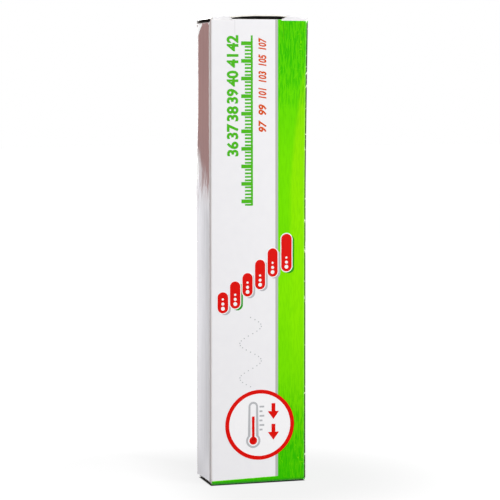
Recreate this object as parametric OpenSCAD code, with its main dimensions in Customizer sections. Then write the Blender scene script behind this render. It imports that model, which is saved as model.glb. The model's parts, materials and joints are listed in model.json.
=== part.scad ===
// Clinical thermometer in its retail pack: a reverse tuck folding carton that
// holds a capped case with a liquid-in-glass thermometer, and a folded leaflet.
// Millimetres, +Z up, -Y towards the printed front.
// The origin is the middle of the base that the carton stands on.

/* [Thermometer] */
// Length from the tip of the bulb to the top of the end plug
therm_len = 128; // [110:1:140]
// Width of the flat glass envelope
envelope_w = 12.4; // [11:0.1:14]
// Depth of the flat glass envelope
envelope_d = 5.6; // [5.4:0.1:6.6]
// Wall of the glass envelope
envelope_wall = 0.7; // [0.5:0.05:0.75]
// Height of the shoulder between the bulb and the flat envelope
shoulder_h = 10; // [6:0.5:14]
// Length of the bulb
bulb_len = 12; // [8:0.5:16]
// Diameter of the bulb
bulb_dia = 4.6; // [4:0.1:5]
// Wall of the bulb
bulb_wall = 0.45; // [0.3:0.05:0.6]
// Diameter of the capillary tube
capillary_dia = 2.2; // [1.8:0.1:2.3]
// Diameter of the bore of the capillary tube
bore_dia = 0.6; // [0.4:0.05:0.8]
// Length of the liquid column at the lowest reading
column_len = 44; // [36:1:48]
// Width of the scale plate
scale_w = 8.4; // [7:0.1:8.6]
// Thickness of the scale plate
scale_t = 0.5; // [0.3:0.05:0.6]
// Height of the clip that holds the scale plate to the capillary
clip_h = 4; // [3:0.5:6]
// Length of the end plug above the envelope
plug_h = 8; // [5:0.5:12]
// Length of the end plug inside the envelope
plug_spigot_h = 3; // [2:0.5:5]

/* [Case] */
// Play between the envelope and the case across its width, each side
case_play_w = 1.2; // [0.5:0.1:2]
// Play between the envelope and the case across its depth, each side
case_play_d = 0.3; // [0.2:0.05:0.6]
// Play above the end plug when the cap is on
case_play_h = 2.1; // [1.8:0.1:4]
// Thickness of the closed lower end of the case
case_floor = 3; // [2:0.5:5]
// Thickness of the closed upper end of the cap
cap_roof = 3; // [2:0.5:5]
// Wall of the neck that the cap slides over
neck_wall = 0.6; // [0.5:0.05:1]
// Length of the neck that the cap slides over
neck_h = 6; // [4:0.5:8]
// Wall of the cap
cap_wall = 0.9; // [0.7:0.05:1.4]
// Length of the cap
cap_len = 40; // [25:1:55]
// Clearance between the cap and the neck, each side
cap_fit = 0.1; // [0.05:0.05:0.2]

/* [Carton] */
// Thickness of the board
board_t = 0.4; // [0.3:0.05:0.5]
// Outer radius of the four upright creases
corner_r = 0.9; // [0.7:0.05:1.2]
// Free room between the case and the side panels, each side
side_room = 6.5; // [5:0.5:12]
// Free room between the top of the case and the upper dust flaps
head_room = 10.55; // [9:0.05:16]
// Gap between the lid and the dust flaps at the top
top_gap = 0.75; // [0.6:0.05:1.2]
// Gap between the lid and the dust flaps at the bottom
bottom_gap = 0.4; // [0.3:0.05:1]
// Gap across a crease
crease_gap = 0.12; // [0.1:0.01:0.2]
// How far the ends of the front panel stay below the top of the lid
front_drop = 1.1; // [0.9:0.05:1.5]
// Clearance between the front panel's middle and the lid above it
tab_gap = 0.1; // [0.05:0.01:0.2]

/* [Closures] */
// Length of the tuck flaps
tuck_len = 7; // [5.5:0.1:7.5]
// Angle by which the tuck flaps lean inwards
tuck_lean = 14; // [13:0.5:18]
// Clearance between a tuck flap's fold and the panel in front of it
tuck_clear = 0.5; // [0.45:0.05:0.8]
// Distance of a tuck flap's sides from the side panels
tuck_side = 0.8; // [0.6:0.1:1.5]
// Radius of the tuck flap's free corners
tuck_corner_r = 3; // [2:0.5:4]
// Width of the thumb notch in a tuck flap's fold
notch_w = 17; // [12:0.5:20]
// Depth of the thumb notch
notch_depth = 3; // [2:0.25:4]
// Distance of the lid's middle tongue from the sides of the thumb notch
tongue_gap = 0.6; // [0.5:0.05:1]
// Distance of the lid's sides from the outside of the carton
lid_inset = 0.1; // [0.05:0.05:0.5]
// Length of the dust flaps
dust_len = 11; // [9:0.5:12]
// Distance of a dust flap from the panel that the lid hinges on
dust_back = 1; // [0.8:0.1:2]
// Distance of a dust flap from the panel that the tuck flap goes behind
dust_front = 1.8; // [1.6:0.1:3]
// Sideways taper of a dust flap along its length
dust_taper = 0.65; // [0.62:0.01:0.75]

/* [Leaflet] */
// Width of the folded leaflet
leaflet_w = 26; // [20:1:28]
// Thickness of the folded leaflet
leaflet_t = 1.4; // [0.8:0.1:1.6]
// Gap between the case and the leaflet
leaflet_gap = 0.4; // [0.3:0.05:0.6]
// Free room above the leaflet
leaflet_room = 5.5; // [5:0.5:20]

/* [Hidden] */
$fn = 48;

// Gap under a piece that rests loosely on another
seat_gap = 0.3;
// Gap between the liquid and the glass round it
liquid_gap = 0.05;
// Clearance of the pieces inside the glass
inner_fit = 0.1;
// Overlap that keeps a cut clear of the face it starts from
over = 1;

// The case grows out of the thermometer that it holds
cavity_w = envelope_w + 2 * case_play_w;
cavity_d = envelope_d + 2 * case_play_d;
neck_w = cavity_w + 2 * neck_wall;
neck_d = cavity_d + 2 * neck_wall;
cap_bore_w = neck_w + 2 * cap_fit;
cap_bore_d = neck_d + 2 * cap_fit;
case_w = cap_bore_w + 2 * cap_wall;
case_d = cap_bore_d + 2 * cap_wall;
case_len = case_floor + seat_gap + therm_len + case_play_h + cap_roof;

// The carton grows out of the case
tuck_reach = tuck_len * sin(tuck_lean);
panel_room = tuck_clear + board_t + tuck_reach + seat_gap;
carton_w = case_w + 2 * (side_room + board_t);
carton_d = case_d + 2 * (panel_room + board_t);
floor_z = 2 * board_t + bottom_gap;
case_z = floor_z + seat_gap;
carton_h = case_z + case_len + head_room + 2 * board_t + top_gap;
half_w = carton_w / 2;
half_d = carton_d / 2;

// Heights of the case and the thermometer in it
case_top_z = case_z + case_len;
cap_z = case_top_z - cap_len;
therm_z = case_z + case_floor + seat_gap;
bulb_top_z = therm_z + bulb_len;
tube_z = bulb_top_z + shoulder_h;
envelope_top_z = therm_z + therm_len - plug_h;
clip_z = envelope_top_z - plug_spigot_h - seat_gap - clip_h;
inner_w = envelope_w - 2 * envelope_wall;
inner_d = envelope_d - 2 * envelope_wall;
scale_y = capillary_dia / 2 + inner_fit;

// Places of the closure, told for the top one
lid_hinge_y = half_d - board_t / 2;
lid_z = carton_h - board_t / 2;
tuck_y = -half_d + board_t + tuck_clear + board_t / 2;
tuck_w = carton_w - 2 * (board_t + tuck_side);
notch_r = (pow(notch_w / 2, 2) + pow(notch_depth, 2)) / (2 * notch_depth);
hinge_edge = board_t + crease_gap;

// Section with two straight sides and two round ends
module stadium(w, d) {
    square([w - d, d], center = true);
    for (side = [-1, 1])
        translate([side * (w - d) / 2, 0])
            circle(d = d);
}

module rounded_rect(w, d, r) {
    square([w - 2 * r, d], center = true);
    square([w, d - 2 * r], center = true);
    for (sx = [-1, 1], sy = [-1, 1])
        translate([sx * (w / 2 - r), sy * (d / 2 - r)])
            circle(r = r);
}

// Section of the board that runs round the carton
module sleeve_section() {
    difference() {
        rounded_rect(carton_w, carton_d, corner_r);
        rounded_rect(carton_w - 2 * board_t, carton_d - 2 * board_t, corner_r - board_t);
    }
}

// One wall of the sleeve, cut from its neighbours along the middle of each crease.
// The wall lies at distance half_out from the axis and spans half_along each way.
module wall_section(half_along, half_out) {
    polygon([
        [-half_along, -half_out],
        [half_along, -half_out],
        [half_along - corner_r, -half_out + corner_r],
        [-half_along + corner_r, -half_out + corner_r],
    ]);
}

module sleeve_wall(turn, half_along, half_out, z0, z1) {
    translate([0, 0, z0])
        linear_extrude(z1 - z0)
            intersection() {
                sleeve_section();
                rotate(turn)
                    wall_section(half_along, half_out);
            }
}

// The bottom closure is the top one turned over about the carton's width
module at_bottom() {
    translate([0, 0, carton_h])
        rotate([180, 0, 0])
            children();
}

module front_panel() {
    end_z = carton_h - front_drop;
    color("white")
        difference() {
            sleeve_wall(0, half_w, half_d, hinge_edge, carton_h - board_t - tab_gap);
            for (side = [0, 1])
                mirror([side, 0, 0])
                    translate([notch_w / 2, -half_d - over, end_z])
                        cube([half_w, corner_r + 2 * over, front_drop]);
        }
}

module back_panel() {
    color("whitesmoke")
        sleeve_wall(180, half_w, half_d, 0, carton_h - hinge_edge);
}

module side_panel(turn) {
    low_z = floor_z + crease_gap;
    high_z = carton_h - 2 * board_t - top_gap - crease_gap;
    sleeve_wall(turn, half_d, half_w, low_z, high_z);
}

module left_side_panel() {
    color("lavender")
        side_panel(-90);
}

module right_side_panel() {
    color("limegreen")
        side_panel(90);
}

// Strip of the back panel's board that is glued inside the right side panel
module glue_flap() {
    flap_end = 4;
    color("lightgray")
        translate([half_w - 2 * board_t, -half_d + corner_r + flap_end, 2 * flap_end])
            cube([board_t, carton_d - 2 * corner_r - flap_end, carton_h - 4 * flap_end]);
}

// A round crease edge along X, centred on its hinge line
module crease_edge(length) {
    rotate([0, 90, 0])
        cylinder(d = board_t, h = length, center = true);
}

module lid() {
    lid_half = half_w - lid_inset;
    fold_half = tuck_w / 2 + crease_gap;
    fold_y = tuck_y + board_t / 2 + crease_gap;
    tongue_half = notch_w / 2 - tongue_gap;
    tongue_y = tuck_y - board_t / 2;
    translate([0, lid_hinge_y, lid_z])
        crease_edge(2 * lid_half);
    translate([0, 0, carton_h - board_t])
        linear_extrude(board_t) {
            polygon([
                [-lid_half, lid_hinge_y], [lid_half, lid_hinge_y],
                [lid_half, tuck_y], [fold_half, tuck_y], [fold_half, fold_y],
                [tongue_half, fold_y], [tongue_half, tongue_y],
                [-tongue_half, tongue_y], [-tongue_half, fold_y],
                [-fold_half, fold_y], [-fold_half, tuck_y], [-lid_half, tuck_y],
            ]);
        }
}

// Flap outline hanging from its fold, with round free corners
module tuck_outline() {
    half = tuck_w / 2;
    r = tuck_corner_r;
    translate([-half, -tuck_len + r])
        square([tuck_w, tuck_len - r]);
    translate([-half + r, -tuck_len])
        square([tuck_w - 2 * r, tuck_len]);
    for (side = [-1, 1])
        translate([side * (half - r), -tuck_len + r])
            circle(r = r);
}

module tuck_flap() {
    translate([0, tuck_y, lid_z])
        rotate([tuck_lean, 0, 0])
            difference() {
                union() {
                    crease_edge(tuck_w);
                    rotate([90, 0, 0])
                        linear_extrude(board_t, center = true)
                            tuck_outline();
                }
                translate([0, 0, notch_r - notch_depth])
                    rotate([90, 0, 0])
                        cylinder(r = notch_r, h = board_t + 2 * over, center = true, $fn = 96);
            }
}

// Left dust flap, with the side that clears the rising lid cut back
module dust_flap(gap) {
    hinge_x = -half_w + board_t / 2;
    flap_z = carton_h - board_t - gap - board_t / 2;
    front_y = -half_d + board_t + dust_front;
    back_y = half_d - board_t - dust_back;
    translate([hinge_x, (front_y + back_y) / 2, flap_z])
        rotate([0, 0, 90])
            crease_edge(back_y - front_y);
    translate([hinge_x, 0, flap_z - board_t / 2])
        linear_extrude(board_t)
            polygon([
                [0, front_y], [dust_len, front_y],
                [dust_len, back_y - dust_taper * dust_len], [0, back_y],
            ]);
}

module top_lid() {
    color("white")
        lid();
}

module top_tuck_flap() {
    color("white")
        tuck_flap();
}

module top_dust_flap_left() {
    color("whitesmoke")
        dust_flap(top_gap);
}

module top_dust_flap_right() {
    color("whitesmoke")
        mirror([1, 0, 0])
            dust_flap(top_gap);
}

module bottom_lid() {
    color("limegreen")
        at_bottom()
            lid();
}

module bottom_tuck_flap() {
    color("white")
        at_bottom()
            tuck_flap();
}

module bottom_dust_flap_left() {
    color("whitesmoke")
        at_bottom()
            dust_flap(bottom_gap);
}

module bottom_dust_flap_right() {
    color("whitesmoke")
        at_bottom()
            mirror([1, 0, 0])
                dust_flap(bottom_gap);
}

// The leaflet stands on the bottom tuck flap, between the case and the back panel
module leaflet() {
    tuck_tip_z = board_t / 2 + tuck_len * cos(tuck_lean) + board_t / 2 * sin(tuck_lean);
    low_z = tuck_tip_z + seat_gap;
    high_z = carton_h - 2 * board_t - top_gap - leaflet_room;
    color("ivory")
        translate([-leaflet_w / 2, case_d / 2 + leaflet_gap, low_z])
            cube([leaflet_w, leaflet_t, high_z - low_z]);
}

module case_body() {
    color("gainsboro")
        difference() {
            union() {
                translate([0, 0, case_z])
                    linear_extrude(cap_z - case_z)
                        stadium(case_w, case_d);
                translate([0, 0, cap_z])
                    linear_extrude(neck_h)
                        stadium(neck_w, neck_d);
            }
            translate([0, 0, case_z + case_floor])
                linear_extrude(cap_z + neck_h + over - case_z - case_floor)
                    stadium(cavity_w, cavity_d);
        }
}

module case_cap() {
    color("crimson")
        difference() {
            translate([0, 0, cap_z + cap_fit])
                linear_extrude(cap_len - cap_fit)
                    stadium(case_w, case_d);
            translate([0, 0, cap_z + cap_fit - over])
                linear_extrude(cap_len - cap_fit - cap_roof + over)
                    stadium(cap_bore_w, cap_bore_d);
        }
}

// A shoulder that narrows from the flat envelope to the round bulb
module shoulder(w, d, dia) {
    slice = 0.01;
    hull() {
        translate([0, 0, shoulder_h - slice])
            linear_extrude(slice)
                stadium(w, d, $fn = 32);
        cylinder(d = dia, h = slice, $fn = 32);
    }
}

module glass_envelope() {
    inner_dia = capillary_dia + 2 * inner_fit;
    color("aliceblue") {
        translate([0, 0, bulb_top_z])
            difference() {
                shoulder(envelope_w, envelope_d, bulb_dia);
                shoulder(inner_w, inner_d, inner_dia);
            }
        translate([0, 0, tube_z])
            linear_extrude(envelope_top_z - tube_z)
                difference() {
                    stadium(envelope_w, envelope_d);
                    stadium(inner_w, inner_d);
                }
    }
}

// Half section of a closed round-ended cylinder, for turning about Z
module bulb_half(r, h) {
    translate([0, r])
        square([r, h - r]);
    intersection() {
        translate([0, r])
            circle(r = r);
        square([r, r]);
    }
}

module bulb() {
    r = bulb_dia / 2;
    color("aliceblue")
        translate([0, 0, therm_z])
            difference() {
                rotate_extrude()
                    bulb_half(r, bulb_len);
                translate([0, 0, bulb_wall])
                    rotate_extrude()
                        bulb_half(r - bulb_wall, bulb_len - 2 * bulb_wall);
                translate([0, 0, bulb_len - bulb_wall - over])
                    cylinder(d = bore_dia, h = bulb_wall + 2 * over);
            }
}

module bulb_liquid() {
    gap = bulb_wall + liquid_gap;
    color("silver")
        translate([0, 0, therm_z + gap])
            rotate_extrude()
                bulb_half(bulb_dia / 2 - gap, bulb_len - 2 * gap);
}

module capillary_tube() {
    color("azure")
        translate([0, 0, bulb_top_z])
            difference() {
                cylinder(d = capillary_dia, h = clip_z + clip_h - bulb_top_z);
                translate([0, 0, -over])
                    cylinder(d = bore_dia, h = clip_z + clip_h - bulb_top_z + 2 * over);
            }
}

module liquid_column() {
    low_z = bulb_top_z - bulb_wall;
    color("silver")
        translate([0, 0, low_z])
            cylinder(d = bore_dia - 2 * liquid_gap, h = bulb_wall + column_len);
}

module scale_plate() {
    plate_z = tube_z + seat_gap;
    color("white")
        translate([-scale_w / 2, scale_y, plate_z])
            cube([scale_w, scale_t, clip_z + clip_h - plate_z]);
}

// Saddle that the capillary and the scale plate pass through, held by the envelope
module scale_clip() {
    color("gray")
        translate([0, 0, clip_z])
            difference() {
                linear_extrude(clip_h)
                    stadium(inner_w - 2 * inner_fit, inner_d - 2 * inner_fit);
                translate([0, 0, -over])
                    cylinder(d = capillary_dia + 2 * inner_fit, h = clip_h + 2 * over);
                translate([-scale_w / 2 - inner_fit, scale_y - inner_fit, -over])
                    cube([scale_w + 2 * inner_fit, inner_d, clip_h + 2 * over]);
            }
}

module end_plug() {
    color("crimson")
        translate([0, 0, envelope_top_z]) {
            linear_extrude(plug_h)
                stadium(envelope_w, envelope_d);
            translate([0, 0, -plug_spigot_h])
                linear_extrude(plug_spigot_h)
                    stadium(inner_w - 2 * inner_fit, inner_d - 2 * inner_fit);
        }
}

front_panel();
back_panel();
left_side_panel();
right_side_panel();
glue_flap();
top_lid();
top_tuck_flap();
top_dust_flap_left();
top_dust_flap_right();
bottom_lid();
bottom_tuck_flap();
bottom_dust_flap_left();
bottom_dust_flap_right();
leaflet();
case_body();
case_cap();
glass_envelope();
bulb();
bulb_liquid();
capillary_tube();
liquid_column();
scale_plate();
scale_clip();
end_plug();
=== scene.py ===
"""Looks of a slim folding carton that holds a capped case, a glass thermometer and a leaflet."""
import json
from math import copysign, cos, pi, radians, sin, sqrt

import bmesh
import bpy
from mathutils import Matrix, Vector

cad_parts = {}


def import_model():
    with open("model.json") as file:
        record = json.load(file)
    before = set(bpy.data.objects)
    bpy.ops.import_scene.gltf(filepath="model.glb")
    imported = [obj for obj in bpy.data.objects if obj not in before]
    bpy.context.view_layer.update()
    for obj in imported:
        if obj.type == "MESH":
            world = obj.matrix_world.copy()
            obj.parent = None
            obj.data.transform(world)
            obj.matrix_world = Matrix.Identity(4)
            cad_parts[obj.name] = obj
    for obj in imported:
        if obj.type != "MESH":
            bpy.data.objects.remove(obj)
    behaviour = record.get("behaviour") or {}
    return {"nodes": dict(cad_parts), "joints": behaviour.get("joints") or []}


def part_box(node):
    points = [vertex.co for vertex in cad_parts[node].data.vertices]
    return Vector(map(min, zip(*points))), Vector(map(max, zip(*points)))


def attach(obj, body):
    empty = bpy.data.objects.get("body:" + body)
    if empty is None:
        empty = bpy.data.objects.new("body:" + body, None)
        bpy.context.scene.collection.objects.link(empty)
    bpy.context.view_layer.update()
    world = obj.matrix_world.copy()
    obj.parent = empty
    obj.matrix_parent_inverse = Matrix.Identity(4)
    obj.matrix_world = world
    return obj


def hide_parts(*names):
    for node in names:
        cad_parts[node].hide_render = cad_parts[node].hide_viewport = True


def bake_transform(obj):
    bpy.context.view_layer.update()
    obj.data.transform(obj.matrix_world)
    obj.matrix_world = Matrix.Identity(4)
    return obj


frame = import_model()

MM = 0.001
SCENE = bpy.context.scene
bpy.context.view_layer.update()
JOINTS = {j["name"]: j for j in frame["joints"]}


def box_mm(node):
    """A CAD node's lowest and highest corners, in millimetres."""
    low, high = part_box(node)
    return low / MM, high / MM


def hinge_mm(joint):
    """A point on a joint's axis, in millimetres."""
    return Vector(JOINTS[joint]["pos_m"]) / MM


# Carton sizes in millimetres, from the frame
FRONT_LOW, FRONT_HIGH = box_mm("front_panel")
LID_LOW, LID_HIGH = box_mm("top_lid")
DUST_LOW, DUST_HIGH = box_mm("top_dust_flap_left")
TOP_HINGE = hinge_mm("top_lid_open")
TUCK_HINGE = hinge_mm("top_tuck_unfold")
DUST_HINGE = hinge_mm("top_dust_left_lift")
BOTTOM_HINGE = hinge_mm("bottom_lid_open")
BOTTOM_DUST_HINGE = hinge_mm("bottom_dust_left_drop")
HEIGHT = LID_HIGH.z
BOARD = LID_HIGH.z - LID_LOW.z
HALF_W = -box_mm("left_side_panel")[0].x
HALF_D = -FRONT_LOW.y
MID_W = HALF_W - BOARD / 2
MID_D = HALF_D - BOARD / 2
TUCK_HALF = box_mm("top_tuck_flap")[1].x

# Folded and cut forms of the board
TOP_DUST_SAG = 0.25
BOTTOM_DUST_RISE = 0.15
SIDE_TOP = DUST_HINGE.z - TOP_DUST_SAG
SIDE_FOOT = BOTTOM_DUST_HINGE.z + BOTTOM_DUST_RISE
CORNER_R = 0.7
TUCK_LEAN = radians(14)
TUCK_LEN = 7.0
TUCK_CORNER_R = 3.0
NOTCH_HALF = 8.5
NOTCH_DEPTH = 3.0
NOTCH_R = (NOTCH_HALF**2 + NOTCH_DEPTH**2) / (2 * NOTCH_DEPTH)
DUST_LEN = 11.0
DUST_TAPER = 0.65
DUST_BLUNT = 0.3

# Board edges: how far the rim reaches past the last row, and the power that squares it
FOLD = (BOARD / 2, 1.0)
CUT = (0.04, 0.25)
RIM_STEPS = 5
STEP = 0.01

# Print on the carton
BAND_X = 6.62
STRIPE_X = 5.75
PRINT_SOFT = 0.05
FOOT_STRIP_Z = 1.67
FOOT_STRIP_TILT = 0.0275
# Width of the painted highlight along the top of the foot strip
FOOT_HIGHLIGHT_WIDTH = 0.16
INK_LIFTS = (0.014, 0.022, 0.03, 0.038)
INK_DEPTH = 0.012
FLAT = "flat_place"
SHARP_ANGLE = radians(35)


def smooth(value, low, high):
    """0 at low, 1 at high, with a soft slope between them."""
    t = min(1.0, max(0.0, (value - low) / (high - low)))
    return t * t * (3 - 2 * t)


class Shader:
    """A node material in the making. Each call adds a node and returns what it gives."""

    def __init__(self, name, owners=None):
        self.owner = (bpy.data.materials if owners is None else owners).new(name)
        self.owner.use_nodes = True
        self.tree = self.owner.node_tree
        self.tree.nodes.clear()

    def add(self, kind, inputs, output=0, **settings):
        made = self.tree.nodes.new(f"ShaderNode{kind}")
        for key, value in settings.items():
            setattr(made, key, value)
        for key, value in inputs.items():
            if isinstance(value, bpy.types.NodeSocket):
                self.tree.links.new(value, made.inputs[key])
            else:
                made.inputs[key].default_value = value
        return made.outputs[output]

    def place(self, flat=False):
        """Keeps the point on the piece in millimetres, and gives its x, y and z. With flat, it is
        where the point lay before the board was bent."""
        if flat:
            where = self.add("Attribute", {}, "Vector", attribute_name=FLAT)
        else:
            where = self.add("TexCoord", {}, "Object")
        self.where = self.add("VectorMath", {0: where, "Scale": 1 / MM}, operation="SCALE")
        return self.add("SeparateXYZ", {0: self.where}).node.outputs

    def math(self, operation, a, b=0.0):
        return self.add("Math", {0: a, 1: b}, operation=operation)

    def plus(self, a, b):
        return self.math("ADD", a, b)

    def minus(self, a, b):
        return self.math("SUBTRACT", a, b)

    def larger(self, a, b):
        return self.math("MAXIMUM", a, b)

    def ramp(self, value, low, high):
        inputs = {"Value": value, "From Min": low, "From Max": high}
        return self.add("MapRange", inputs, interpolation_type="SMOOTHSTEP")

    def span(self, value, to_low, to_high, low=0.0, high=1.0):
        """An even slope: to_low at low, to_high at high."""
        inputs = {"Value": value, "From Min": low, "From Max": high, "To Min": to_low, "To Max": to_high}
        return self.add("MapRange", inputs)

    def off(self, value, middle):
        """How far a value lies from a middle one."""
        return self.math("ABSOLUTE", self.minus(value, middle))

    def between(self, value, low, high, soft):
        rise = self.ramp(value, low - soft, low + soft)
        fall = self.ramp(value, high + soft, high - soft)
        return self.math("MULTIPLY", rise, fall)

    def every(self, *masks):
        result = masks[0]
        for mask in masks[1:]:
            result = self.math("MULTIPLY", result, mask)
        return result

    def noise(self, scale, detail=2.0, stretch=(1, 1, 1)):
        where = self.add("Mapping", {"Vector": self.where, "Scale": stretch})
        return self.add("TexNoise", {"Vector": where, "Scale": scale, "Detail": detail})

    def mix(self, share, a, b, most=1.0):
        """Colour a turned to b by a share, of which most is the largest."""
        if most < 1.0:
            share = self.math("MULTIPLY", share, most)
        return self.add("Mix", {0: share, 6: a, 7: b}, 2, data_type="RGBA")

    def gradient(self, value, stops):
        """A run of tones, each of them (place, red, green, blue)."""
        shown = self.add("ValToRGB", {0: value})
        elements = shown.node.color_ramp.elements
        while len(elements) < len(stops):
            elements.new(0.5)
        for element, (place, *tone) in zip(elements, stops):
            element.position = place
            element.color = rgb(*tone)
        return shown

    def bump(self, height, strength, distance):
        inputs = {"Height": height, "Strength": strength, "Distance": distance * MM}
        return self.add("Bump", inputs)

    def finish(self, **inputs):
        named = {key.replace("_", " ").title().replace("Ior", "IOR"): v for key, v in inputs.items()}
        return self.show(self.add("BsdfPrincipled", named))

    def show(self, surface, output="OutputMaterial"):
        """Makes a shader the surface of the material or the world."""
        made = self.tree.nodes.new(f"ShaderNode{output}")
        self.tree.links.new(surface, made.inputs["Surface"])
        return self.owner


def rgb(red, green, blue):
    """A colour from its 0 to 255 screen values."""
    shares = [v / 255 for v in (red, green, blue)]
    linear = [s / 12.92 if s <= 0.04045 else ((s + 0.055) / 1.055) ** 2.4 for s in shares]
    return (*linear, 1.0)


BOARD_WHITE = rgb(246, 245, 247)
BOARD_SHADE = rgb(241, 240, 243)
STRIPE_GREY = rgb(186, 187, 184)
# Painted shade along the upright creases: beige and brown on white, olive on green
CREASE_BEIGE = rgb(243, 234, 231)
CREASE_BROWN = rgb(226, 208, 204)
CREASE_OLIVE = rgb(46, 54, 2)
CHIP_WHITE = rgb(232, 236, 205)
HAIRLINE_GREY = rgb(196, 196, 198)
SCRATCH_GREEN = rgb(62, 142, 8)
# Painted shade for the lower fold of the front
FOOT_PAINTED_SHADE = rgb(14, 92, 4)
STREAK_GREEN = rgb(48, 188, 1)
# Pale green for the band's print grain and for the painted highlight along the foot strip
PALE_GREEN = rgb(142, 238, 8)

# Greens of the band from its foot to its head, deeper left of its painted reflection's curve: (share of
# the height, red, green, blue)
DEEP_STOPS = ((0.0, 54, 196, 1), (0.07, 80, 206, 1), (0.2, 118, 226, 2), (0.42, 136, 236, 2),
              (0.55, 120, 229, 1), (0.68, 122, 230, 1), (0.81, 107, 223, 1), (0.9, 90, 213, 1),
              (1.0, 88, 211, 1))
LIME_STOPS = ((0.0, 76, 201, 2), (0.08, 88, 208, 2), (0.13, 110, 218, 2), (0.2, 122, 226, 2),
              (0.33, 138, 236, 2), (0.5, 144, 238, 2), (0.7, 146, 234, 2), (0.85, 140, 229, 2),
              (0.93, 94, 214, 2))


def white_paint(s):
    return s.mix(s.noise(0.35, 4.0), BOARD_WHITE, BOARD_SHADE)


# The band's split into deeper green left of a curve and lighter green right of it is painted reflection.
# The curve bends to the right above REFLECTION_CURVE_FROM
REFLECTION_CURVE_X = 10.7
REFLECTION_CURVE_FROM = 95.0
REFLECTION_CURVE_SLOPE = 0.05
REFLECTION_CURVE_BEND = 0.0015


def green_paint(s, x, z):
    """Lime ink, deeper at both ends, with fine grain along the board. Its split into deeper green left of
    a soft curve and lighter green right of it is painted reflection.
    """
    rise = s.larger(s.minus(z, REFLECTION_CURVE_FROM), 0)
    slope = s.plus(s.every(rise, REFLECTION_CURVE_BEND), REFLECTION_CURVE_SLOPE)
    curve = s.plus(s.every(rise, slope), REFLECTION_CURVE_X)
    height = s.math("DIVIDE", z, HEIGHT)
    # Painted reflection: lighter green right of the curve, deeper green left of it
    lime = s.ramp(s.minus(x, curve), -0.9, 0.9)
    colour = s.mix(lime, s.gradient(height, DEEP_STOPS), s.gradient(height, LIME_STOPS))
    grain = s.ramp(s.noise(2.6, 5.0, (1, 1, 0.12)), 0.42, 0.62)
    ends = s.span(s.ramp(s.off(height, 0.5), 0.25, 0.42), 0.15, 0.9)
    colour = s.mix(s.every(grain, ends), colour, STREAK_GREEN)
    swirl = s.every(s.noise(0.12, 2.0, (1, 1, 0.6)), 26)
    rings = s.off(s.math("FRACT", s.plus(swirl, x)), 0.5)
    hair = s.every(s.ramp(rings, 0.07, 0.02), s.ramp(s.noise(0.5, 2.0), 0.45, 0.6), ends)
    return s.mix(hair, colour, PALE_GREEN, 0.7)


# Waves of the varnish, as shares of its relief, and the heights of the side's strongest one
CALM_WAVE = 0.6
SIDE_WAVE = 4.0
STREAK_WAVE = 20.0
STREAK_Z = (88, 99)


def varnish(s, colour, wave=CALM_WAVE, ior=1.5, worn=None, blur=0.07):
    """Satin varnish over coated board, with fibres and a slow wave. It is gone where worn."""
    fibre = s.every(s.noise(6.0, 3.0), 0.06)
    slow = s.every(s.noise(0.42, 3.0, (1, 1, 0.16)), wave)
    normal = s.bump(s.plus(fibre, slow), 0.25, 0.05)
    rough, coat = blur + 0.03, 1.0
    if worn is not None:
        rough, coat = s.span(worn, rough, 0.7), s.minus(1.0, worn)
    return s.finish(base_color=colour, roughness=rough, ior=ior, coat_weight=coat, coat_roughness=blur,
                    coat_ior=ior, normal=normal, coat_normal=normal)


# Upright corners: where their painted shade and worn varnish set in and where they are full
WHITE_CREASE_SHADE_X = (15.2, 15.45)
WHITE_CREASE_SHADE_Y = (6.4, 7.0)
BROWN_Z = (92, 112)
GREEN_CREASE_WEAR_AND_SHADE_Y = (-6.9, -7.2)
GREEN_CREASE_WEAR_AND_SHADE_Z = (149.2, 148)
BARE_X = (15.0, 15.82)
OLIVE_X = (15.24, 15.82)


def creased(s, colour, x, y, z):
    """Paints shade on the upright corners: beige on white, olive broken by white chips on green.
    Gives the colour, and where the green corner has lost its varnish."""
    across, depth = s.math("ABSOLUTE", x), s.math("ABSOLUTE", y)
    patchy_shade = s.ramp(s.noise(0.9, 5.0, (1, 1, 0.25)), 0.1, 0.5)
    left = s.ramp(x, 0.1, -0.1)
    white_side = s.every(s.ramp(across, *WHITE_CREASE_SHADE_X), s.ramp(depth, *WHITE_CREASE_SHADE_Y), left)
    tone = s.mix(s.ramp(z, *BROWN_Z), CREASE_BEIGE, CREASE_BROWN)
    # Painted shade: beige, browner higher up, in patches along the white corner
    colour = s.mix(s.every(white_side, patchy_shade), colour, tone)
    front = s.every(s.ramp(y, *GREEN_CREASE_WEAR_AND_SHADE_Y), s.ramp(z, *GREEN_CREASE_WEAR_AND_SHADE_Z))
    worn = s.every(s.between(x, *BARE_X, 0.06), front)
    green_side = s.every(s.between(x, *OLIVE_X, 0.08), front)
    # Painted shade: an olive line along the green corner, broken into dashes by this noise, with white
    # chips
    rubbed = s.ramp(s.noise(1.3, 3.0, (0.2, 0.2, 1)), 0.22, 0.42)
    colour = s.mix(s.every(green_side, rubbed), colour, CREASE_OLIVE)
    chip = s.ramp(s.noise(1.2, 4.0, (1, 1, 0.6)), 0.62, 0.65)
    return s.mix(s.every(chip, green_side), colour, CHIP_WHITE), worn


# Print, marks and painted shade of the sleeve: from where to where they lie, or set in and are full
FACE_Y = (7.0, 7.4)
FOOT_FOLD_Y = (-6.8, -7.0)
FOOT_PAINTED_SHADE_Z = (1.1, 0.1)
HAIRLINE_X = (-7.7, -7.6)
HAIRLINE_Z = (144.4, 145.2)
SCRATCH_X = (8.6, 8.75)
SCRATCH_Z = (142, 144)


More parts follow.
